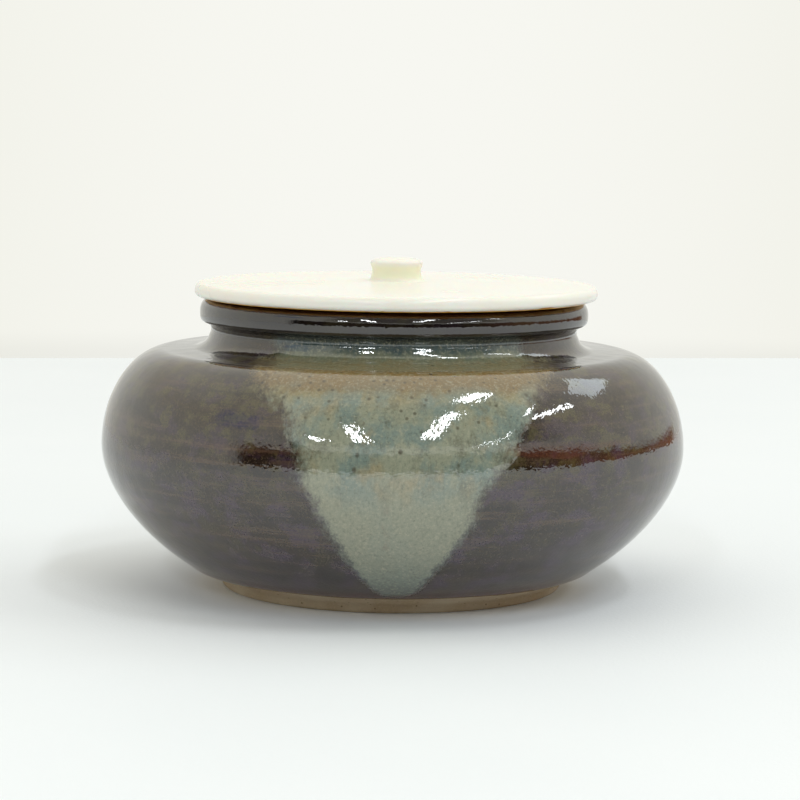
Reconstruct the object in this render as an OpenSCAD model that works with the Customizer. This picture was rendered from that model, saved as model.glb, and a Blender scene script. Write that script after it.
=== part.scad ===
// Squat lidded tea caddy, thrown in stoneware.
// Millimetres, +Z up. The origin is the centre of the flat cut base, and the poured glaze faces -Y.

/* [Belly and foot] */
// Diameter over the widest line of the belly
belly_d = 96; // [94:0.5:98]
// Height of the belly's widest line above the base
belly_h = 23.6; // [23:0.1:24.2]
// Diameter of the flat cut base
base_d = 54.8; // [53:0.2:56]
// Diameter at the top of the small rounding round the base
foot_d = 57.5; // [57:0.1:58]
// Height of that rounding
foot_h = 1.1; // [0.9:0.1:1.3]
// Slope at which the underside leaves the foot, in degrees
flare_angle = 25; // [22:0.5:28]

/* [Shoulder, collar and lip] */
// Diameter of the shoulder's crest, where it turns flat
crest_d = 75.4; // [74:0.2:77]
// Height of the shoulder's crest
crest_h = 39.1; // [38.9:0.1:39.3]
// Diameter of the upright collar at its narrowest
collar_d = 60.2; // [60:0.1:60.6]
// Diameter over the rolled lip
lip_d = 63.9; // [63.5:0.1:64.3]
// Height of the top of the lip
lip_h = 47.5; // [47.3:0.1:47.7]
// Clear diameter of the mouth
mouth_d = 53.8; // [53.4:0.1:54.4]

/* [Clay walls] */
// Thickness of the clay wall at the belly
wall_t = 3.2; // [2.8:0.1:3.6]
// Thickness of the floor at its centre
floor_t = 3.6; // [3:0.1:4]

/* [Glazes] */
// Thickness of the iron glaze
glaze_t = 0.4; // [0.3:0.05:0.5]
// Height above the base at which the iron glaze stops
glaze_line_h = 3.2; // [2.6:0.1:4]
// Height inside the neck at which the iron glaze stops
glaze_inside_h = 42.5; // [42:0.1:43]
// Thickness of the ash glaze poured over the front
ash_t = 0.2; // [0.15:0.05:0.3]
// Height of the lowest point of the ash glaze
ash_tip_h = 4.2; // [3.8:0.1:6]
// Width of the ash glaze at the shoulder
ash_top_w = 45; // [40:0.5:50]
// Sideways offset of the ash glaze at the shoulder
ash_top_x = 3; // [0:0.2:5]
// Width of the ash glaze at the belly's widest line
ash_belly_w = 28; // [25:0.5:31]
// Sideways offset of the ash glaze from the belly down
ash_low_x = 0.8; // [0:0.2:2]
// Diameter of the ash glaze's rounded tip
ash_tip_d = 11; // [9:0.2:13]

/* [Lid] */
// Diameter of the lid
lid_d = 66.2; // [65.6:0.1:66.6]
// Thickness of the lid at its rim
lid_rim_t = 2.2; // [2:0.1:2.6]
// Rise of the lid's top from rim to knob
lid_dome_h = 0.5; // [0.3:0.1:0.8]
// Diameter of the knob's flared root
knob_root_d = 9.5; // [9:0.1:10]
// Diameter of the knob's waist
knob_waist_d = 8; // [7.6:0.1:8.2]
// Diameter of the knob's head
knob_head_d = 8.6; // [8.4:0.1:9]
// Height of the knob above the lid
knob_h = 3.8; // [3.4:0.1:4.4]
// Depth of the spigot that centres the lid in the mouth
spigot_depth = 2.4; // [1.8:0.1:3]
// Clearance all round between the lined spigot and the mouth
spigot_gap = 0.8; // [0.5:0.1:1.2]
// Thickness of the gold-leaf paper lining
foil_t = 0.15; // [0.1:0.01:0.2]
// How far to the right the lid sits within that clearance
lid_offset = 0.3; // [0:0.05:0.4]

/* [Hidden] */
$fn = 96;

// Straight steps in each curved stretch of a turned outline
curve_steps = 12;
bend_steps = 5;

// Outline points are [radius, height]. Each stretch is a cubic curve: it leaves a towards b and
// reaches d from the direction of c, and its last point is left to the next stretch.
function curve_point(a, b, c, d, t) =
    pow(1 - t, 3) * a + 3 * pow(1 - t, 2) * t * b + 3 * (1 - t) * t * t * c + pow(t, 3) * d;
function curve(a, b, c, d, steps) = [for (i = [0 : steps - 1]) curve_point(a, b, c, d, i / steps)];

belly_r = belly_d / 2;
base_r = base_d / 2;
foot_r = foot_d / 2;
crest_r = crest_d / 2;
collar_r = collar_d / 2;
lip_r = lip_d / 2;
mouth_r = mouth_d / 2;

// The outer skin, glaze included, from the foot up over the lip and down inside the neck
flare_lead = 12.2;
belly_lead_low = 7.8;
belly_lead_high = 8;
crest_lead = 5.4;
collar_foot_h = crest_h + 0.2;
collar_foot_r = collar_r + 3.1;
collar_low_h = crest_h + 2.1;
collar_top_h = lip_h - 5.2;
lip_under_h = lip_h - 3.9;
lip_mid_h = lip_h - 2.3;
lip_crown_r = lip_r - 2.05;
lip_inner_h = lip_h - 2.3;

foot_edge = [foot_r, foot_h];
belly_line = [belly_r, belly_h];
crest = [crest_r, crest_h];
collar_foot = [collar_foot_r, collar_foot_h];
collar_low = [collar_r + 0.35, collar_low_h];
collar_top = [collar_r, collar_top_h];
lip_under = [lip_r - 0.65, lip_under_h];
lip_mid = [lip_r, lip_mid_h];
lip_crown = [lip_crown_r, lip_h];
lip_inner = [mouth_r, lip_inner_h];
neck_inner_end = [mouth_r, glaze_inside_h];

skin = concat(
    curve(foot_edge, foot_edge + flare_lead * [cos(flare_angle), sin(flare_angle)],
        belly_line - [0, belly_lead_low], belly_line, 2 * curve_steps),
    curve(belly_line, belly_line + [0, belly_lead_high], crest + [crest_lead, 0], crest,
        curve_steps),
    curve(crest, crest - [1.5, 0], collar_foot + [1.5, -0.05], collar_foot, 3),
    curve(collar_foot, collar_foot - [1.3, -0.05], collar_low - [-0.3, 1], collar_low, bend_steps),
    curve(collar_low, collar_low + [-0.12, 0.4], collar_top - [0, 0.5], collar_top, 2),
    curve(collar_top, collar_top + [0, 0.7], lip_under - [0.6, 0.2], lip_under, bend_steps),
    curve(lip_under, lip_under + [0.5, 0.17], lip_mid - [0, 1.1], lip_mid, bend_steps),
    curve(lip_mid, lip_mid + [0, 1.5], lip_crown + [1.3, 0], lip_crown, curve_steps),
    curve(lip_crown, lip_crown - [1.5, 0], lip_inner + [0, 1.4], lip_inner, curve_steps),
    [lip_inner, neck_inner_end]
);

// Outward direction at a point of the skin, from its two neighbours
function outward(points, i) =
    let (along = points[min(i + 1, len(points) - 1)] - points[max(i - 1, 0)])
    [along[1], -along[0]] / norm(along);
function skin_at(depth) = [for (i = [0 : len(skin) - 1]) skin[i] - depth * outward(skin, i)];

clay_face = skin_at(glaze_t);
ash_face = skin_at(-ash_t);

// Inside of the pot, from the neck down to the middle of the floor
neck_clay_r = mouth_r + glaze_t;
inner_belly_r = belly_r - glaze_t - wall_t + 0.4;
inner_neck_h = crest_h + 1;
inner_shoulder = [crest_r - 3, crest_h - wall_t];
inner_belly = [inner_belly_r, belly_h];
floor_edge = [foot_r - 4.2, floor_t + 0.3];

inside_face = concat(
    curve([neck_clay_r, inner_neck_h], [neck_clay_r, inner_neck_h - 2.6],
        inner_shoulder - [5, 0], inner_shoulder, bend_steps),
    curve(inner_shoulder, inner_shoulder + [6, 0], inner_belly + [0, 6.6], inner_belly, curve_steps),
    curve(inner_belly, inner_belly - [0, 8.4], floor_edge + [11, 2.5], floor_edge, curve_steps),
    [floor_edge, [0, floor_t]]
);

base_face = curve([base_r, 0], [base_r + 0.7, 0], clay_face[0] - [0.5, 0.7], clay_face[0], bend_steps);

module jar_body()
    color("rosybrown")
    rotate_extrude()
    polygon(concat([[0, 0]], base_face, clay_face, inside_face));

// The glaze is everything between the skin and the clay, above the line where it stops
glaze_start = min([for (i = [0 : len(skin) - 1]) if (skin[i][1] > glaze_line_h) i]);
function above_line(points) = [for (i = [glaze_start : len(points) - 1]) points[i]];
function reversed(points) = [for (i = [len(points) - 1 : -1 : 0]) points[i]];

module iron_glaze()
    color([0.2, 0.15, 0.15])
    rotate_extrude()
    polygon(concat(above_line(skin), reversed(above_line(clay_face))));

// The ash glaze lies on the skin's front, from under the lip down to its tip. Seen from the front it
// is a tongue: broad on the collar and shoulder, drawn in at the belly, and round at its tip.
ash_end = len(skin) - 2 * curve_steps - 2 * bend_steps - 2;
function ash_stretch(points) = [for (i = [glaze_start : ash_end]) points[i]];
ash_top_h = lip_h;
ash_tip_r = ash_tip_d / 2;
ash_tip_h_mid = ash_tip_h + ash_tip_r;

module ash_outline() {
    polygon([
        [ash_low_x + ash_tip_r, ash_tip_h_mid],
        [ash_low_x + ash_belly_w / 2, belly_h],
        [ash_top_x + ash_top_w / 2, crest_h],
        [ash_top_x + ash_top_w / 2, ash_top_h],
        [ash_top_x - ash_top_w / 2, ash_top_h],
        [ash_top_x - ash_top_w / 2, crest_h],
        [ash_low_x - ash_belly_w / 2, belly_h],
        [ash_low_x - ash_tip_r, ash_tip_h_mid]
    ]);
    translate([ash_low_x, ash_tip_h_mid])
        circle(ash_tip_r);
}

module ash_glaze_run()
    color([0.6, 0.64, 0.56])
    intersection() {
        rotate_extrude()
            polygon(concat(ash_stretch(ash_face), reversed(ash_stretch(skin))));
        rotate([90, 0, 0])
            linear_extrude(belly_d)
            ash_outline();
    }

// The lid rests on the lip through its lining, a little to the right of the pot's centre
rest_gap = 0.1;
foil_low_h = lip_h + rest_gap;
lid_low_h = foil_low_h + foil_t;
lid_rim_h = lid_low_h + lid_rim_t;
lid_top_h = lid_rim_h + lid_dome_h;
knob_top_h = lid_top_h + knob_h;
lid_r = lid_d / 2;
spigot_r = mouth_r - spigot_gap - foil_t;
spigot_low_h = lid_low_h - spigot_depth;
rim_round_low = 0.8;
rim_round_top = 1;
spigot_round = 0.4;
lining_r = lid_r - 1.1;

knob_root = [knob_root_d / 2, lid_top_h];
knob_waist = [knob_waist_d / 2, lid_top_h + 0.45 * knob_h];
knob_head = [knob_head_d / 2, lid_top_h + 0.75 * knob_h];
lid_edge_low = [lid_r - rim_round_low, lid_low_h];
lid_edge_mid = [lid_r, lid_low_h + rim_round_low];
lid_edge_top = [lid_r - rim_round_top, lid_rim_h];

lid_outline = concat(
    [[0, spigot_low_h], [spigot_r - spigot_round, spigot_low_h], [spigot_r, spigot_low_h + spigot_round]],
    [[spigot_r, lid_low_h]],
    curve(lid_edge_low, lid_edge_low + [0.5, 0], lid_edge_mid - [0, 0.5], lid_edge_mid, bend_steps),
    curve(lid_edge_mid, [lid_r, lid_rim_h - 0.4], lid_edge_top + [0.6, 0], lid_edge_top, bend_steps),
    curve(lid_edge_top, lid_edge_top + [-8, 0.3], knob_root + [6, -0.05], knob_root, bend_steps),
    curve(knob_root, knob_root + [-0.6, 0.15], knob_waist - [0, 0.7], knob_waist, bend_steps),
    curve(knob_waist, knob_waist + [0, 0.5], knob_head - [0, 0.5], knob_head, bend_steps),
    curve(knob_head, knob_head + [0, 0.6], [3.1, knob_top_h], [0, knob_top_h], curve_steps),
    [[0, knob_top_h]]
);

module lid()
    color("ivory")
    translate([lid_offset, 0, 0])
    rotate_extrude()
    polygon(lid_outline);

// One sheet of gold-leaf paper, pressed over the lid's underside and the spigot
module lid_foil()
    color("goldenrod")
    translate([lid_offset, 0, 0])
    rotate_extrude()
    polygon([
        [0, spigot_low_h - foil_t],
        [spigot_r - spigot_round, spigot_low_h - foil_t],
        [spigot_r + foil_t, spigot_low_h + spigot_round],
        [spigot_r + foil_t, foil_low_h],
        [lining_r, foil_low_h],
        [lining_r, lid_low_h],
        [spigot_r, lid_low_h],
        [spigot_r, spigot_low_h + spigot_round],
        [spigot_r - spigot_round, spigot_low_h],
        [0, spigot_low_h]
    ]);

jar_body();
iron_glaze();
ash_glaze_run();
lid();
lid_foil();
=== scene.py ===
# A squat stoneware tea caddy: thrown pot, dark iron glaze, ash glaze poured over the front, and a
# flat ivory-white lid lined with gold leaf. +Z is up and the poured side faces -Y.
import math
import bpy
from mathutils import Matrix, Vector


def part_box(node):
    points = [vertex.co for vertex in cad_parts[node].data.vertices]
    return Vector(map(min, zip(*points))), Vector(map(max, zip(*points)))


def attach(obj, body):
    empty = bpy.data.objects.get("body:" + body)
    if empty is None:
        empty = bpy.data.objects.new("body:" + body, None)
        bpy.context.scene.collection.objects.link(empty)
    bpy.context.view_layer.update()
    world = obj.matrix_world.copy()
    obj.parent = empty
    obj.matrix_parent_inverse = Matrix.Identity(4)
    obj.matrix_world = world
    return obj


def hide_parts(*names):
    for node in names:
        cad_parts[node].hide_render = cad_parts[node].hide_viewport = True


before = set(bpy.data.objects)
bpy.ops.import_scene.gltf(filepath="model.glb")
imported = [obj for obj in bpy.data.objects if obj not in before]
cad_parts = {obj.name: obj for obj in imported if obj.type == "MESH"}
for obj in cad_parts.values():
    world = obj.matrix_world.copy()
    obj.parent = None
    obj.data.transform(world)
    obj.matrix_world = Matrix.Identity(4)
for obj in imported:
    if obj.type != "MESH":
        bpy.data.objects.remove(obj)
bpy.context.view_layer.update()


# --- The pot -------------------------------------------------------------------------------
# The jar itself is one piece of buff stoneware, thrown on a wheel and cut from it with a twisted
# cord. It stays bare inside, on its base and in a narrow band above the base.

MM = 0.001
GLAZE_THICK = 0.4 * MM
STEPS_ROUND = 360


class Measure:
    """A number that changes over a surface. Sums on it add Math nodes to its recipe's tree."""

    def __init__(self, recipe, socket):
        self.recipe = recipe
        self.socket = socket

    def sum(self, operation, *values):
        made = self.recipe.node("ShaderNodeMath", {"operation": operation}, dict(enumerate(values)))
        return Measure(self.recipe, made.outputs[0])

    def __add__(self, other):
        return self.sum("ADD", self, other)

    def __sub__(self, other):
        return self.sum("SUBTRACT", self, other)

    def __rsub__(self, other):
        return self.sum("SUBTRACT", other, self)

    def __mul__(self, other):
        return self.sum("MULTIPLY", self, other)

    def __truediv__(self, other):
        return self.sum("DIVIDE", self, other)

    def __mod__(self, other):
        return self.sum("FLOORED_MODULO", self, other)

    def __pow__(self, other):
        return self.sum("POWER", self, other)

    def __abs__(self):
        return self.sum("ABSOLUTE", self)

    __radd__ = __add__
    __rmul__ = __mul__

    def sine(self):
        return self.sum("SINE", self)

    def cosine(self):
        return self.sum("COSINE", self)

    def floor(self):
        return self.sum("FLOOR", self)

    def at_least(self, low):
        return self.sum("MAXIMUM", self, low)

    def at_most(self, high):
        return self.sum("MINIMUM", self, high)

    def rise(self, low, high):
        """0 up to low, 1 from high on, and eased between them. It falls where low is above high."""
        falls = low > high
        made = self.recipe.node(
            "ShaderNodeMapRange", {"interpolation_type": "SMOOTHSTEP"},
            {"Value": self, "From Min": min(low, high), "From Max": max(low, high)})
        risen = Measure(self.recipe, made.outputs["Result"])
        return 1 - risen if falls else risen


class Recipe:
    """A node tree written as sums, for a glaze, a clay body or a shape."""

    def __init__(self, tree):
        self.tree = tree

    def node(self, kind, settings=None, links=None):
        """Any node: its settings first, with a ramp's stops as (place, colour), then its sockets."""
        made = self.tree.nodes.new(kind)
        for name, value in (settings or {}).items():
            if name == "stops":
                band = made.color_ramp.elements
                while len(band) < len(value):
                    band.new(1.0)
                for stop, (place, colour) in zip(band, value):
                    stop.position, stop.color = place, colour
            else:
                setattr(made, name, value)
        for name, value in (links or {}).items():
            if isinstance(value, Measure):
                value = value.socket
            if isinstance(value, bpy.types.NodeSocket):
                self.tree.links.new(value, made.inputs[name])
            else:
                made.inputs[name].default_value = value
        return made

    def given(self):
        """The tree's own inputs by name, the numbers among them as measures."""
        sockets = self.node("NodeGroupInput").outputs
        return {s.name: Measure(self, s) if s.type in ("VALUE", "INT") else s for s in sockets}

    def spot(self):
        """Where on the piece we are, in millimetres, as a vector and as its x, y and z."""
        where = self.node("ShaderNodeTexCoord").outputs["Object"]
        scaled = self.node("ShaderNodeVectorMath", {"operation": "SCALE"}, {0: where, "Scale": 1 / MM})
        return scaled.outputs[0], *self.parts(scaled.outputs[0])

    def parts(self, vector):
        apart = self.node("ShaderNodeSeparateXYZ", None, {0: vector})
        return [Measure(self, apart.outputs[i]) for i in range(3)]

    def vector(self, x, y, z):
        return self.node("ShaderNodeCombineXYZ", None, {0: x, 1: y, 2: z}).outputs[0]

    def stretch(self, vector, x, y, z):
        """A place scaled along each axis, so that what is laid on it is drawn out along the small ones."""
        return self.node("ShaderNodeVectorMath", {"operation": "MULTIPLY"},
                         {0: vector, 1: (x, y, z)}).outputs[0]

    def cloud(self, vector, scale, detail=2.0, rough=0.5):
        """Smooth noise about 0.5, with blotches about 1 / scale across."""
        made = self.node("ShaderNodeTexNoise", None,
                         {"Vector": vector, "Scale": scale, "Detail": detail, "Roughness": rough})
        return Measure(self, made.outputs[0])

    def specks(self, vector, scale, size):
        """1 at scattered points, falling to 0 at size (as a share of their spacing)."""
        made = self.node("ShaderNodeTexVoronoi", None, {"Vector": vector, "Scale": scale})
        return Measure(self, made.outputs["Distance"]).rise(size, size * 0.3)

    def blend(self, share, first, second):
        """first, turning into second as share goes from 0 to 1."""
        made = self.node("ShaderNodeMix", {"data_type": "RGBA"}, {0: share, 6: first, 7: second})
        return made.outputs[2]

    def relief(self, height, depth, under=None):
        """A bump whose height runs from 0 to 1, depth metres in all."""
        links = {"Height": height, "Distance": depth}
        if under:
            links["Normal"] = under
        return self.node("ShaderNodeBump", None, links).outputs[0]


def paint(red, green, blue):
    """A colour from its 0 to 255 mixing values."""
    def linear(value):
        value /= 255
        return value / 12.92 if value <= 0.04045 else ((value + 0.055) / 1.055) ** 2.4
    return linear(red), linear(green), linear(blue), 1.0


def finish(name):
    """A new material, its recipe and the shader that its colours go into."""
    material = bpy.data.materials.new(name)
    material.use_nodes = True
    recipe = Recipe(material.node_tree)
    return material, recipe, material.node_tree.nodes["Principled BSDF"]


def pour(recipe, shader, colour, roughness, normal, **steady):
    """Connects what varies to the shader and sets what doesn't on its own sockets."""
    recipe.tree.links.new(colour, shader.inputs["Base Color"])
    recipe.tree.links.new(roughness.socket, shader.inputs["Roughness"])
    recipe.tree.links.new(normal, shader.inputs["Normal"])
    for socket, value in steady.items():
        shader.inputs[socket.replace("_", " ")].default_value = value


MERGE_REACH = 0.002 * MM


def wheel():
    """Geometry nodes that turn an outline once round, with a spiral of throwing rings."""
    tree = bpy.data.node_groups.new("wheel", "GeometryNodeTree")
    sockets = {"Outline": "Geometry", "Steps round": "Int", "Ring pitch": "Float",
               "Edge waver": "Float", "Edge slope": "Float", "Off centre": "Float", "Finish": "Material"}
    for name, kind in sockets.items():
        tree.interface.new_socket(name=name, in_out="INPUT", socket_type="NodeSocket" + kind)
    tree.interface.new_socket(name="Piece", in_out="OUTPUT", socket_type="NodeSocketGeometry")
    recipe = Recipe(tree)
    given = recipe.given()
    steps = given["Steps round"]
    size = recipe.node("GeometryNodeAttributeDomainSize", None, {0: given["Outline"]})
    count = Measure(recipe, size.outputs["Point Count"])
    sheet = recipe.node("GeometryNodeMeshGrid", None,
                        {"Vertices X": steps + 1, "Vertices Y": count})
    index = Measure(recipe, recipe.node("GeometryNodeInputIndex").outputs[0])
    row = index % count
    angle = (index / count).floor() / steps * math.tau

    def along_outline(kind, value):
        made = recipe.node("GeometryNodeSampleIndex", {"data_type": kind},
                           {"Geometry": given["Outline"], "Value": value, "Index": row})
        return made.outputs[0]

    def noted(name):
        made = recipe.node("GeometryNodeInputNamedAttribute", {"data_type": "FLOAT"}, {"Name": name})
        return Measure(recipe, along_outline("FLOAT", made.outputs[0]))

    place = recipe.node("GeometryNodeInputPosition").outputs[0]
    radius, _, height = recipe.parts(along_outline("FLOAT_VECTOR", place))
    # The rings are deeper here and there, and the glaze edge wavers with the angle alone
    round_about = recipe.vector(angle.sine(), angle.cosine(), height / (20 * MM))
    uneven = recipe.cloud(round_about, 1.3, 1.0)
    coil = ((height / given["Ring pitch"]) * math.tau + angle).sine()
    ring = noted("ring depth") * ((coil * 0.5 + 0.5) * 0.6 + uneven * 0.4)
    waver = recipe.cloud(recipe.vector(angle.sine(), angle.cosine(), 0.0), 2.2, 3.0) - 0.5
    slip = noted("edge") * waver * given["Edge waver"]
    slope = given["Edge slope"]
    out = (radius - ring).at_least(0) + slip * slope.cosine()
    up = height + slip * slope.sine()
    turned = recipe.node("GeometryNodeSetPosition", None, {
        "Geometry": sheet.outputs["Mesh"],
        "Position": recipe.vector(out * angle.sine() + given["Off centre"],
                                  out * angle.cosine() * -1, up)})
    closed = recipe.node("GeometryNodeMergeByDistance", None,
                         {"Geometry": turned.outputs[0], "Distance": MERGE_REACH})
    smooth = recipe.node("GeometryNodeSetShadeSmooth", None, {0: closed.outputs[0]})
    real = recipe.node("GeometryNodeRealizeInstances", None, {0: smooth.outputs[0]})
    glazed = recipe.node("GeometryNodeSetMaterial", None,
                         {"Geometry": real.outputs[0], "Material": given["Finish"]})
    recipe.node("NodeGroupOutput", None, {"Piece": glazed.outputs[0]})
    return tree


def plain_mesh(name, source, tree, inputs):
    """Puts a tree on a source mesh, keeps what it makes as an ordinary mesh, and drops the tree."""
    piece = bpy.data.objects.new(name, source)
    bpy.context.scene.collection.objects.link(piece)
    modifier = piece.modifiers.new("made", "NODES")
    modifier.node_group = tree
    for item in tree.interface.items_tree:
        if item.in_out == "INPUT" and item.name in inputs:
            modifier[item.identifier] = inputs[item.name]
    worked_out = piece.evaluated_get(bpy.context.evaluated_depsgraph_get())
    made = bpy.data.meshes.new_from_object(worked_out)
    piece.modifiers.clear()
    piece.data = made
    made.name = name
    return piece


def curve(start, leave, arrive, end, steps, ring=0.0, edge=0.0):
    """Points of one stretch of an outline, without its last. Each is radius, height, ring, edge."""
    points = []
    for i in range(steps):
        t = i / steps
        shares = ((1 - t) ** 3, 3 * (1 - t) ** 2 * t, 3 * (1 - t) * t * t, t ** 3)
        corners = (start, leave, arrive, end)
        points.append([sum(s * c[k] for s, c in zip(shares, corners)) for k in (0, 1)] + [ring, edge])
    return points


def straight(start, end, steps, ring=0.0, edge=0.0):
    return curve(start, start.lerp(end, 1 / 3), start.lerp(end, 2 / 3), end, steps, ring, edge)


def moved_out(outline, distances):
    """The outline moved outwards by a distance of its own at each point."""
    made = []
    for i, point in enumerate(outline):
        before, after = outline[max(i - 1, 0)], outline[min(i + 1, len(outline) - 1)]
        run = Vector((after[0] - before[0], after[1] - before[1])).normalized()
        far = distances[i]
        made.append([point[0] + run.y * far, point[1] - run.x * far, *point[2:]])
    return made


WHEEL = wheel()


def turn(name, outline, material, steps_round=STEPS_ROUND, ring_pitch=3.4 * MM, waver=0.0, slope=0.0,
         off_centre=0.0):
    """Turns an outline on the wheel. It runs from the axis below, outwards, up and back inside."""
    line = bpy.data.meshes.new(name)
    line.from_pydata([(p[0], 0, p[1]) for p in outline],
                     [(i, i + 1) for i in range(len(outline) - 1)], [])
    for column, label in ((2, "ring depth"), (3, "edge")):
        note = line.attributes.new(label, "FLOAT", "POINT")
        note.data.foreach_set("value", [p[column] for p in outline])
    return plain_mesh(name, line, WHEEL, {
        "Steps round": steps_round, "Ring pitch": ring_pitch, "Edge waver": waver,
        "Edge slope": slope, "Off centre": off_centre, "Finish": material})


def corner(radius, height):
    return Vector((radius * MM, height * MM))


# The skin, glaze and all, from the foot over the belly, shoulder, collar and lip into the neck
glaze_low, glaze_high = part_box("iron_glaze")
BELLY_R = (glaze_high.x - glaze_low.x) / 2 / MM
LIP_TOP = glaze_high.z / MM
GLAZE_LINE = glaze_low.z / MM
BELLY_H, CREST_R, CREST_H = 23.6, 37.7, 39.1
FOOT_R, FOOT_H, BASE_R = 28.7, 1.1, 27.4
FLARE = math.radians(25)
COLLAR_R, LIP_R, MOUTH_R = 30.1, 31.95, 26.9
GLAZE_INSIDE_H = 42.5
WALL_THICK, FLOOR_THICK = 3.2, 3.6
RING, FINGER_RING, FLOOR_RING = 0.02 * MM, 0.3 * MM, 0.1 * MM

foot = corner(FOOT_R, FOOT_H)
belly = corner(BELLY_R, BELLY_H)
crest = corner(CREST_R, CREST_H)
collar_foot = corner(COLLAR_R + 3.1, CREST_H + 0.2)
collar_low = corner(COLLAR_R + 0.35, CREST_H + 2.1)
collar_top = corner(COLLAR_R, LIP_TOP - 5.2)
lip_under = corner(LIP_R - 0.65, LIP_TOP - 3.9)
lip_mid = corner(LIP_R, LIP_TOP - 2.3)
lip_crown = corner(LIP_R - 2.05, LIP_TOP)
lip_inner = corner(MOUTH_R, LIP_TOP - 2.3)
neck_end = corner(MOUTH_R, GLAZE_INSIDE_H)

outer_skin = (
    curve(foot, foot + 12.2 * MM * Vector((math.cos(FLARE), math.sin(FLARE))),
          belly - corner(0, 7.8), belly, 64, RING)
    + curve(belly, belly + corner(0, 8), crest + corner(5.4, 0), crest, 44, RING)
    + curve(crest, crest - corner(1.5, 0), collar_foot + corner(1.5, -0.05), collar_foot, 8)
    + curve(collar_foot, collar_foot - corner(1.3, -0.05), collar_low - corner(-0.3, 1), collar_low, 14)
    + curve(collar_low, collar_low + corner(-0.12, 0.4), collar_top - corner(0, 0.5), collar_top, 8)
    + curve(collar_top, collar_top + corner(0, 0.7), lip_under - corner(0.6, 0.2), lip_under, 12)
    + curve(lip_under, lip_under + corner(0.5, 0.17), lip_mid - corner(0, 1.1), lip_mid, 12))
lip_skin = (
    curve(lip_mid, lip_mid + corner(0, 1.5), lip_crown + corner(1.3, 0), lip_crown, 14)
    + curve(lip_crown, lip_crown - corner(1.5, 0), lip_inner + corner(0, 1.4), lip_inner, 14)
    + straight(lip_inner, neck_end, 5) + straight(neck_end, neck_end, 1))
skin = outer_skin + lip_skin

# Under the glaze the clay follows the skin, at every second point since it is covered
clay_face = moved_out(skin[:-1:2] + skin[-1:], [-GLAZE_THICK] * len(skin))

# Inside, the clay opens out below the neck and closes at the floor
neck_foot = corner(MOUTH_R + 0.4, CREST_H + 1)
inner_shoulder = corner(CREST_R - 3, CREST_H - WALL_THICK)
inner_belly = corner(BELLY_R - WALL_THICK, BELLY_H)
floor_edge = corner(FOOT_R - 4.2, 3.9)
floor_middle = corner(0, FLOOR_THICK)
inside_face = (
    straight(Vector(clay_face[-1][:2]), neck_foot, 4)
    + curve(neck_foot, neck_foot - corner(0, 2.6), inner_shoulder - corner(5, 0), inner_shoulder, 12)
    + curve(inner_shoulder, inner_shoulder + corner(6, 0), inner_belly + corner(0, 6.6),
            inner_belly, 28, FINGER_RING)
    + curve(inner_belly, inner_belly - corner(0, 8.4), floor_edge + corner(11, 2.5),
            floor_edge, 40, FINGER_RING)
    + straight(floor_edge, floor_middle, 26, FLOOR_RING) + straight(floor_middle, floor_middle, 1))
clay_foot = Vector(clay_face[0][:2])
base_edge = corner(BASE_R, 0)
base_face = (
    straight(corner(0, 0), base_edge, 44)
    + curve(base_edge, base_edge + corner(0.7, 0), clay_foot - corner(0.5, 0.7), clay_foot, 6))


def clay_finish():
    """Bare stoneware: buff, warm, gritty, with dark iron specks and smoother wiped bands."""
    material, recipe, shader = finish("bare stoneware")
    spot, x, y, z = recipe.spot()
    blush = recipe.cloud(spot, 0.12, 3.0)
    grit = recipe.cloud(spot, 2.6, 4.0, 0.7)
    iron = recipe.specks(spot, 0.75, 0.16)
    colour = recipe.blend(blush.rise(0.3, 0.7), paint(200, 184, 158), paint(182, 160, 130))
    colour = recipe.blend(grit.rise(0.45, 0.75) * 0.5, colour, paint(212, 192, 160))
    colour = recipe.blend(iron * 0.7, colour, paint(82, 58, 42))
    wiped = recipe.cloud(recipe.stretch(spot, 0.05, 0.05, 2.4), 1.0, 2.0)
    # The twisted cord leaves off-centre arcs on the base
    off_x, off_y = x + 14, y - 6
    arcs = (((off_x * off_x + off_y * off_y) ** 0.5) * (math.tau / 1.7)).sine() * 0.5 + 0.5
    on_base = z.rise(0.2, 0.05)
    coarse = recipe.relief(arcs * on_base, 0.18 * MM)
    fine = recipe.relief(grit * 0.7 + wiped * 0.3, 0.16 * MM, coarse)
    pour(recipe, shader, colour, blush * 0.1 + 0.78, fine, Specular_IOR_Level=0.3)
    return material


pot = turn("jar_clay", base_face + clay_face + inside_face, clay_finish())
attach(pot, "jar")
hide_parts("jar_body")


# --- The iron glaze ------------------------------------------------------------------------
# A coat of dark iron glaze, dipped and wiped back above the foot. It is fused to the clay from its
# wavering lower edge up over the lip and a little way into the neck. It breaks red-brown where thin.


ASH_FOOT, ASH_TALL, ASH_HALF_WIDTH = 2.9, 36, 20.4


def ash_cover(recipe, x, y, z, crumbling=True):
    """How far the ash glaze covers a place: 1 in the tongue on the front, 0 elsewhere."""
    climb = ((z - ASH_FOOT) / ASH_TALL).at_least(0.0).at_most(1.0)
    half_width = (climb ** 0.66) * ASH_HALF_WIDTH + z.rise(32, 38) * 1.8 - z.rise(39, 41) * 3.8
    middle = z.rise(20, 38) * 2.0 - z.rise(32, 38) * 1.2 - z.rise(38.6, 41) * 0.5 + 0.7
    ragged = (recipe.cloud(recipe.vector(x * 0.2, z * 0.16, 3.0), 1.0, 3.0, 0.6) - 0.5) * (climb * 8 + 1)
    inward = half_width - abs(x - middle) + ragged
    if crumbling:
        crumbs = recipe.cloud(recipe.vector(x, z * 0.7, y * 0.5), 1.3, 5.0, 0.8) - 0.5
        inward = inward + crumbs * (climb * 5 + 3)
    soft = climb * 1.5 + 0.8
    side = (inward / soft).rise(-1, 1)
    return side * y.rise(-2, -8) * z.rise(44.2, 42.4) * z.rise(3.3, 4.3)


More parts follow.
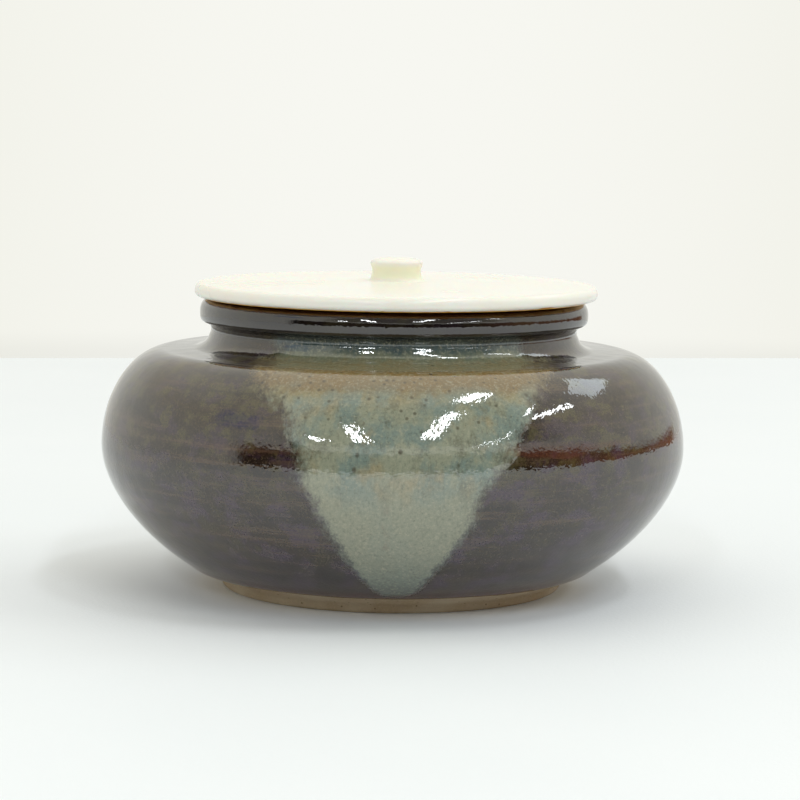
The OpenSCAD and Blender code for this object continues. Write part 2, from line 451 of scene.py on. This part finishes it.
def iron_colours(recipe, spot, x, z):
    """The iron glaze's colour: near-black brown with violet and olive casts, red-brown where thin."""
    drift = recipe.cloud(recipe.stretch(spot, 1.0, 1.0, 1.6), 0.09, 3.0)
    violet = recipe.cloud(recipe.stretch(spot, 1.0, 1.0, 1.4), 0.22, 4.0, 0.6)
    olive = recipe.cloud(recipe.stretch(spot, 1.0, 1.0, 1.3), 0.31, 4.0, 0.6)
    bands = recipe.cloud(recipe.stretch(spot, 0.03, 0.03, 0.7), 1.0, 5.0, 0.7)
    grain = recipe.cloud(spot, 2.4, 4.0, 0.8)
    high = z.rise(16, 34)
    colour = recipe.blend(drift.rise(0.35, 0.68), paint(36, 26, 22), paint(50, 40, 28))
    colour = recipe.blend(violet.rise(0.47, 0.62) * (0.8 - high * 0.35), colour, paint(66, 50, 70))
    colour = recipe.blend(olive.rise(0.48, 0.62) * (high * 0.5 + 0.35), colour, paint(74, 68, 38))
    colour = recipe.blend(bands.rise(0.5, 0.66) * 0.6, colour, paint(88, 70, 56))
    colour = recipe.blend(bands.rise(0.47, 0.34) * 0.6, colour, paint(22, 16, 15))
    colour = recipe.blend(grain.rise(0.5, 0.68) * 0.6, colour, paint(92, 79, 62))
    colour = recipe.blend(grain.rise(0.47, 0.3) * 0.7, colour, paint(16, 11, 10))
    # Painted shade: from the top of the collar up over the lip, where the lid shades it, the glaze is
    # painted near black
    colour = recipe.blend(z.rise(42.8, 43.8) * 0.75, colour, paint(15, 11, 13))
    ridge = abs(z - 27.0).rise(2.4, 0.4)
    patchy = recipe.cloud(recipe.stretch(spot, 0.06, 0.06, 0.4), 1.0, 3.0).rise(0.46, 0.6)
    edge = z.rise(4.8, 3.4) * 0.6 + abs(z - 47.0).rise(0.5, 0.2) * 0.3
    thin = (ridge * patchy * (x.rise(-14, 14) * 0.35 + 0.15) + edge) * (grain * 0.8 + 0.4)
    return recipe.blend(thin.at_most(1.0), colour, paint(98, 52, 38)), grain


def ash_colours(recipe, spot, x, z, cover):
    """The ash glaze's colour: tan under the shoulder, then blue-grey mottle, then pale grey-green."""
    drops = recipe.cloud(recipe.stretch(spot, 1.0, 1.0, 0.5), 0.55, 4.0, 0.65)
    # The stops are heights, as shares of 50 mm
    level = (z + (drops - 0.5) * 3.0) / 50
    colour = recipe.node("ShaderNodeValToRGB", {"stops": [
        (0.08, paint(96, 105, 100)), (0.14, paint(122, 130, 117)), (0.24, paint(139, 142, 123)),
        (0.44, paint(142, 145, 124)), (0.56, paint(142, 146, 126)), (0.68, paint(141, 145, 124)),
        (0.715, paint(138, 131, 98)), (0.74, paint(122, 101, 62)), (0.775, paint(126, 104, 62)),
        (0.79, paint(128, 118, 86)), (0.81, paint(112, 118, 96)), (0.835, paint(58, 78, 81)),
        (0.86, paint(44, 58, 60))]},
        {"Fac": level}).outputs["Color"]
    belt = z.rise(18, 25) * z.rise(38, 35)
    blue = recipe.cloud(recipe.stretch(spot, 1.0, 1.0, 0.7), 0.15, 4.0, 0.6)
    colour = recipe.blend(blue.rise(0.46, 0.6) * (belt * 0.7 + 0.12), colour, paint(112, 130, 124))
    tan = recipe.cloud(recipe.stretch(spot, 1.0, 1.0, 0.8), 0.19, 4.0, 0.6)
    colour = recipe.blend(tan.rise(0.5, 0.68) * (belt * 0.55 + 0.05), colour, paint(150, 134, 98))
    dusk = recipe.cloud(recipe.stretch(spot, 1.3, 1.3, 0.7), 0.26, 5.0, 0.7)
    colour = recipe.blend(dusk.rise(0.52, 0.66) * (belt * 0.45 + 0.1), colour, paint(98, 100, 84))
    hairs = recipe.cloud(recipe.stretch(spot, 2.4, 2.4, 0.22), 1.0, 4.0, 0.7)
    colour = recipe.blend(hairs.rise(0.5, 0.68) * 0.35, colour, paint(102, 102, 86))
    grain = recipe.cloud(spot, 2.0, 4.0, 0.8)
    colour = recipe.blend(grain.rise(0.5, 0.68) * 0.5, colour, paint(172, 170, 146))
    colour = recipe.blend(grain.rise(0.47, 0.3) * 0.5, colour, paint(78, 82, 68))
    pits = recipe.specks(recipe.stretch(spot, 1.0, 1.0, 0.8), 0.24, 0.12) * z.rise(21, 25)
    dust = recipe.specks(spot, 0.6, 0.24) * z.rise(26, 34) * z.rise(40, 38.5)
    colour = recipe.blend((pits * 0.75 + dust * 0.7).at_most(0.8), colour, paint(60, 52, 36))
    streak = abs(x + 0.9).rise(0.9, 0.1) * abs(z - 15.5).rise(6.0, 1.0)
    colour = recipe.blend(streak * drops.rise(0.4, 0.65) * 0.6, colour, paint(118, 98, 84))
    margin = cover.rise(1.0, 0.5) * z.rise(24, 12)
    return recipe.blend(margin * 0.6, colour, paint(88, 100, 101))


def glaze_finish():
    """Both glazes in one skin of colour, so that the ash melts into the iron at its edge."""
    material, recipe, shader = finish("iron and ash glaze")
    spot, x, y, z = recipe.spot()
    cover = ash_cover(recipe, x, y, z)
    iron, grain = iron_colours(recipe, spot, x, z)
    ash = ash_colours(recipe, spot, x, z, cover)
    colour = recipe.blend(cover, iron, ash)
    swell = recipe.relief(recipe.cloud(spot, 0.26, 1.0), 0.05 * MM)
    pinholes = recipe.specks(spot, 0.8, 0.06) * cover
    fine = recipe.cloud(spot, 1.7, 1.0)
    skin_relief = recipe.relief(fine - pinholes, 0.02 * MM, swell)
    rough = grain * 0.04 + cover * 0.01 + 0.01
    pour(recipe, shader, colour, rough, skin_relief, IOR=1.85)
    return material


GLAZE = glaze_finish()

# The coat is a closed shell: its skin, a rounded and slightly swollen lower edge, and its clay side
first = next(i for i, p in enumerate(skin) if p[1] > GLAZE_LINE * MM)
EDGE_REACH = 10
EDGE_SWELL, EDGE_WAVER = 0.09 * MM, 1.6 * MM
coat_skin = [list(p) for p in skin[first:]]
for i in range(EDGE_REACH):
    coat_skin[i][3] = 1 - i / EDGE_REACH
swollen = [EDGE_SWELL * math.exp(-((i - 1.4) / 1.6) ** 2) for i in range(len(coat_skin))]
coat_front = moved_out(coat_skin, swollen)
deepening = [-GLAZE_THICK * (1 - math.exp(-i - 0.9)) for i in range(len(coat_skin))]
coat_back = moved_out(coat_skin, deepening)
# Away from the edge the clay side is hidden, and every third point is enough
coat_back = coat_back[:4] + coat_back[4:-1:3] + coat_back[-1:]
coat = coat_front + coat_back[::-1] + [coat_front[0]]
iron_coat = turn("iron_glaze_coat", coat, GLAZE, waver=EDGE_WAVER, slope=FLARE)
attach(iron_coat, "jar")
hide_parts("iron_glaze")


# --- The ash glaze -------------------------------------------------------------------------
# A second glaze, of wood ash, poured over the collar and shoulder on one side. It ran down the
# front in a tongue and lies a little proud of the iron glaze, sunk into it round its edge.


def pouring():
    """Geometry nodes that keep the skin under the tongue and raise it into a closed thin piece."""
    tree = bpy.data.node_groups.new("pouring", "GeometryNodeTree")
    sockets = {"Skin": "Geometry", "Rise": "Float", "Sink": "Float", "Depth": "Float",
               "Finish": "Material"}
    for name, kind in sockets.items():
        tree.interface.new_socket(name=name, in_out="INPUT", socket_type="NodeSocket" + kind)
    tree.interface.new_socket(name="Piece", in_out="OUTPUT", socket_type="NodeSocketGeometry")
    recipe = Recipe(tree)
    given = recipe.given()
    place = recipe.node("GeometryNodeInputPosition").outputs[0]
    scaled = recipe.node("ShaderNodeVectorMath", {"operation": "SCALE"}, {0: place, "Scale": 1 / MM})
    cover = ash_cover(recipe, *recipe.parts(scaled.outputs[0]), crumbling=False)
    outside = recipe.node("FunctionNodeCompare", {"data_type": "FLOAT", "operation": "LESS_THAN"},
                          {0: cover, 1: 0.02})
    patch = recipe.node("GeometryNodeDeleteGeometry", {"domain": "FACE"},
                        {"Geometry": given["Skin"], "Selection": outside.outputs[0]})
    facing = recipe.node("GeometryNodeInputNormal").outputs[0]

    def pushed(geometry, distance):
        away = recipe.node("ShaderNodeVectorMath", {"operation": "SCALE"}, {0: facing, "Scale": distance})
        return recipe.node("GeometryNodeSetPosition", None,
                           {"Geometry": geometry, "Offset": away.outputs[0]}).outputs[0]

    top_level = cover * (given["Rise"] + given["Sink"]) - given["Sink"]
    depth = given["Depth"]
    bottom = pushed(patch.outputs[0], depth * -1)
    stem = recipe.node("ShaderNodeVectorMath", {"operation": "SCALE"}, {0: facing, "Scale": 1.0})
    raised = recipe.node("GeometryNodeExtrudeMesh", {"mode": "FACES"}, {
        "Mesh": bottom, "Offset": stem.outputs[0], "Offset Scale": depth + top_level,
        "Individual": False})
    turned_over = recipe.node("GeometryNodeFlipFaces", None, {"Mesh": bottom})
    whole = recipe.node("GeometryNodeJoinGeometry", None, {0: raised.outputs["Mesh"]})
    recipe.tree.links.new(turned_over.outputs[0], whole.inputs[0])
    closed = recipe.node("GeometryNodeMergeByDistance", None,
                         {"Geometry": whole.outputs[0], "Distance": MERGE_REACH})
    smooth = recipe.node("GeometryNodeSetShadeSmooth", None, {0: closed.outputs[0]})
    real = recipe.node("GeometryNodeRealizeInstances", None, {0: smooth.outputs[0]})
    glazed = recipe.node("GeometryNodeSetMaterial", None,
                         {"Geometry": real.outputs[0], "Material": given["Finish"]})
    recipe.node("NodeGroupOutput", None, {"Piece": glazed.outputs[0]})
    return tree


ASH_RISE, ASH_SINK, ASH_DEPTH = 0.14 * MM, 0.05 * MM, 0.25 * MM
front_skin = turn("front_skin", outer_skin[first + 3:], GLAZE)
tongue = plain_mesh("ash_glaze_tongue", front_skin.data, pouring(), {
    "Rise": ASH_RISE, "Sink": ASH_SINK, "Depth": ASH_DEPTH, "Finish": GLAZE})
bpy.data.objects.remove(front_skin)
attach(tongue, "jar")
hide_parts("ash_glaze_run")


# --- The lid -------------------------------------------------------------------------------
# One piece turned from a cream-white blank: a thin disc with a soft rim, a low dome, a small
# waisted knob, and underneath a shallow spigot that centres it in the mouth.

lid_low, lid_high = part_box("lid")
LID_R = (lid_high.x - lid_low.x) / 2 / MM
LID_X = (lid_high.x + lid_low.x) / 2 / MM
LID_UNDER = LIP_TOP + 0.25
SPIGOT_LOW, KNOB_TOP = lid_low.z / MM, lid_high.z / MM
LID_RIM, LID_CREST, SPIGOT_R = LID_UNDER + 2.2, KNOB_TOP - 3.8, 25.95
RIM_ROUND_LOW, RIM_ROUND_TOP, SPIGOT_ROUND = 0.8, 1.0, 0.4
knob_root = corner(4.75, LID_CREST)
knob_waist = corner(4.0, LID_CREST + 1.7)
knob_head = corner(4.3, LID_CREST + 2.85)
knob_top = corner(0, KNOB_TOP)
rim_low = corner(LID_R - RIM_ROUND_LOW, LID_UNDER)
rim_mid = corner(LID_R, LID_UNDER + RIM_ROUND_LOW)
rim_top = corner(LID_R - RIM_ROUND_TOP, LID_RIM)
spigot_edge = corner(SPIGOT_R - SPIGOT_ROUND, SPIGOT_LOW)
spigot_side = corner(SPIGOT_R, SPIGOT_LOW + SPIGOT_ROUND)
spigot_root = corner(SPIGOT_R, LID_UNDER)
lid_outline = (
    straight(corner(0, SPIGOT_LOW), spigot_edge, 10) + straight(spigot_edge, spigot_side, 2)
    + straight(spigot_side, spigot_root, 6) + straight(spigot_root, rim_low, 8)
    + curve(rim_low, rim_low + corner(0.5, 0), rim_mid - corner(0, 0.5), rim_mid, 12)
    + curve(rim_mid, rim_mid + corner(0, 1.0), rim_top + corner(0.6, 0), rim_top, 16)
    + curve(rim_top, rim_top + corner(-8, 0.3), knob_root + corner(6, -0.05), knob_root, 40)
    + curve(knob_root, knob_root + corner(-0.6, 0.15), knob_waist - corner(0, 0.7), knob_waist, 14)
    + curve(knob_waist, knob_waist + corner(0, 0.5), knob_head - corner(0, 0.5), knob_head, 10)
    + curve(knob_head, knob_head + corner(0, 0.6), corner(3.1, KNOB_TOP), knob_top, 24)
    + straight(knob_top, knob_top, 1))


def lid_finish():
    """Polished cream blank: fine grain, faint turning lines, and gold size crept over its edge."""
    material, recipe, shader = finish("cream lid")
    spot, x, y, z = recipe.spot()
    grain = recipe.cloud(recipe.stretch(spot, 0.9, 0.06, 0.9), 1.2, 4.0, 0.6)
    mellow = recipe.cloud(spot, 0.06, 2.0)
    off_x = x - LID_X
    radius = (off_x * off_x + y * y) ** 0.5
    colour = recipe.blend(mellow.rise(0.35, 0.7), paint(245, 244, 236), paint(243, 240, 228))
    colour = recipe.blend(grain.rise(0.5, 0.75) * 0.3, colour, paint(243, 237, 216))
    # Painted light: the knob, from its root up to its head, is painted brighter and yellower than the lid
    stem_painted_light = z.rise(LID_CREST - 0.2, LID_CREST + 0.9) * z.rise(KNOB_TOP - 0.8, KNOB_TOP - 1.8)
    colour = recipe.blend(stem_painted_light * radius.rise(5.6, 4.6) * 0.7, colour, paint(253, 249, 212))
    # The gold laid on the underside creeps a little way up the rim
    creep = recipe.cloud(recipe.stretch(spot, 0.16, 0.16, 0.0), 1.0, 3.0).rise(0.5, 0.72)
    gold = (creep * 0.3 + LID_UNDER - 0.02 - z).rise(0.0, 0.08) * radius.rise(30, 31)
    colour = recipe.blend(gold, colour, paint(206, 152, 62))
    lines = (radius * (math.tau / 0.55)).sine() * 0.5 + 0.5
    shallow = recipe.relief(lines * 0.25 + grain * 0.75, 0.012 * MM)
    pour(recipe, shader, colour, mellow * 0.12 + 0.2, shallow,
         Subsurface_Weight=0.25, Subsurface_Scale=0.8 * MM, IOR=1.54)
    return material


lid = turn("cream_lid", lid_outline, lid_finish(), steps_round=288, off_centre=LID_X * MM)
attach(lid, "lid")
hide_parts("lid")


# --- The lining of the lid -----------------------------------------------------------------
# Gold leaf laid on thin paper and pasted under the lid and round its spigot. It is slightly
# crinkled, and the squares of leaf show where they overlap.

foil_low, foil_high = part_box("lid_foil")
FOIL_R, FOIL_THICK = (foil_high.x - foil_low.x) / 2 / MM, 0.15
foil_line = (
    straight(corner(0, SPIGOT_LOW), spigot_edge, 40) + straight(spigot_edge, spigot_side, 4)
    + straight(spigot_side, spigot_root, 8) + straight(spigot_root, corner(FOIL_R, LID_UNDER), 12)
    + straight(corner(FOIL_R, LID_UNDER), corner(FOIL_R, LID_UNDER), 1))
foil_outline = moved_out(foil_line, [FOIL_THICK * MM] * len(foil_line)) + foil_line[::-1]


def foil_finish():
    """Gold leaf: bright, warm, broken by creases and by the overlapping edges of its squares."""
    material, recipe, shader = finish("gold leaf")
    spot, x, y, _ = recipe.spot()
    crease = recipe.cloud(spot, 0.5, 5.0, 0.65)
    worn = recipe.cloud(spot, 0.25, 4.0, 0.6)
    leaf_wide = 22.0

    def lap(along):
        return abs((along / leaf_wide) % 1.0 - 0.5).rise(0.47, 0.49)

    laps = lap(x + 4) + lap(y - 7)
    colour = recipe.blend(worn.rise(0.4, 0.7), paint(222, 174, 84), paint(196, 140, 56))
    colour = recipe.blend((laps * 0.5).at_most(0.6), colour, paint(168, 112, 44))
    normal = recipe.relief(crease + laps * 0.3, 0.22 * MM)
    pour(recipe, shader, colour, worn * 0.25 + 0.22, normal, Metallic=1.0)
    return material


foil = turn("gold_leaf_lining", foil_outline, foil_finish(), steps_round=256, off_centre=LID_X * MM)
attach(foil, "lid")
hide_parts("lid_foil")


# --- The room ------------------------------------------------------------------------------
# A sheet of pale paper on a table, in a white room under rows of ceiling tubes. The window, the
# bench and the shaded wall in front are there for the glaze to mirror.

FLOOR_FRONT, FLOOR_BACK, FLOOR_SIDE, BACK_SLANT = -3.0, 0.395, 2.4, 0.131
floor_mesh = bpy.data.meshes.new("table_top")
floor_mesh.from_pydata([
    (-FLOOR_SIDE, FLOOR_FRONT, 0), (FLOOR_SIDE, FLOOR_FRONT, 0),
    (FLOOR_SIDE, FLOOR_BACK + FLOOR_SIDE * BACK_SLANT, 0),
    (-FLOOR_SIDE, FLOOR_BACK - FLOOR_SIDE * BACK_SLANT, 0)], [], [(0, 1, 2, 3)])
table_top = bpy.data.objects.new("table_top", floor_mesh)
bpy.context.scene.collection.objects.link(table_top)


def table_finish():
    """Matt white paper, very slightly uneven in tone."""
    material, recipe, shader = finish("pale paper")
    spot, *_ = recipe.spot()
    tone = recipe.cloud(spot, 0.02, 3.0)
    colour = recipe.blend(tone, paint(236, 241, 246), paint(240, 244, 248))
    fibre = recipe.relief(recipe.cloud(spot, 1.5, 4.0), 0.05 * MM)
    pour(recipe, shader, colour, tone * 0.1 + 0.6, fibre)
    return material


floor_mesh.materials.append(table_finish())

world = bpy.data.worlds.new("white room")
bpy.context.scene.world = world
world.use_nodes = True
room = Recipe(world.node_tree)
BLACK = (0, 0, 0, 1)
# Every direction from the jar has a bearing, 0 in front and growing to the right, and a height
east, north, up = room.parts(room.node("ShaderNodeTexCoord").outputs["Generated"])
bearing = east.sum("ARCTAN2", east, north * -1) * (180 / math.pi)
aside = (abs(east) * abs(east) * 50).at_most(1.0)
wall = room.blend(aside, paint(247, 247, 241), paint(243, 243, 235))
wall = room.blend(up.rise(0.25, 0.5), wall, paint(244, 240, 226))
# Painted shade: a soft dark line along the foot of the wall, where it meets the floor
corner_shade = up.rise(-0.084, -0.095) * 0.07
wall = room.blend(corner_shade, wall, BLACK)
blind = bearing.rise(-86, -78) * bearing.rise(-56, -64) * up.rise(0.42, 0.48) * up.rise(0.62, 0.56)
wall = room.blend(blind * 0.7, wall, paint(170, 186, 224))
shade = bearing.rise(-50, -30) * bearing.rise(80, 55) * up.rise(0.3, 0.4) * up.rise(0.95, 0.8)
wall = room.blend(shade * 0.75, wall, BLACK)
skylight = up.rise(0.45, 0.65) * abs(bearing).rise(80, 110)
wall = room.blend(skylight, wall, (1.04, 1.02, 0.93, 1))
# The bench runs along the front and right, and looks lower the further round it is
bench_top = 0.28 - bearing.rise(30, 138) * 0.26
bench = bearing.rise(-67, -57) * bearing.rise(150, 140) * (bench_top - up).rise(-0.03, 0.03)
wood = room.blend(bearing.rise(40, 85), paint(10, 7, 7), paint(150, 104, 76))
room_colour = room.blend(bench, wall, wood)
backing = world.node_tree.nodes["Background"]
world.node_tree.links.new(room_colour, backing.inputs["Color"])

CEILING, TUBE_WIDE = 2.0, 0.2


def lamp(name, place, facing, wide, long, glow, tint):
    """A flat lamp at a place, facing a way, of a size across and along in metres."""
    light = bpy.data.lights.new(name, "AREA")
    light.shape, light.size, light.size_y = "RECTANGLE", wide, long
    light.energy = glow * math.pi * wide * long
    light.color = tint
    holder = bpy.data.objects.new(name, light)
    bpy.context.scene.collection.objects.link(holder)
    aim = Vector(facing).to_track_quat("-Z", "Y").to_matrix().to_4x4()
    holder.matrix_world = Matrix.Translation(place) @ aim


# Each row of tubes runs from front to back: how far right, its front end, its back end and its glow
for number, (right, front, back, glow) in enumerate([
        (-2.14, -3.92, -3.26, 28), (-0.84, -4.12, -2.3, 23), (0.86, -3.4, -1.25, 16),
        (0.8, -0.75, -0.15, 14), (3.1, -4.6, -3.4, 14), (3.1, -3.1, -2.3, 14), (2.35, -1.0, 0.1, 14)]):
    lamp(f"tubes_{number + 1}", (right, (front + back) / 2, CEILING), (0, 0, -1), TUBE_WIDE,
         back - front, glow, (0.94, 0.98, 1.0))
lamp("window", (1.6, 1.1, 1.75), (-1.6, -1.1, -1.75), 1.1, 0.5, 2.2, (0.8, 0.92, 1.0))

# The camera stands in front, a little above the lid, and looks slightly down
CAMERA_BACK, CAMERA_UP = 0.4528, 0.08065
LOOKS_DOWN, LEANS = math.radians(6.308), 0.0125
camera_data = bpy.data.cameras.new("camera")
camera_data.lens = 123.9
camera_data.shift_x = 0.0087
camera_data.clip_start = 0.01
camera = bpy.data.objects.new("camera", camera_data)
bpy.context.scene.collection.objects.link(camera)
camera.matrix_world = (Matrix.Translation((0, -CAMERA_BACK, CAMERA_UP))
                       @ Matrix.Rotation(math.radians(90) - LOOKS_DOWN, 4, "X")
                       @ Matrix.Rotation(LEANS, 4, "Z"))
bpy.context.scene.camera = camera
bpy.context.scene.view_settings.view_transform = "Standard"
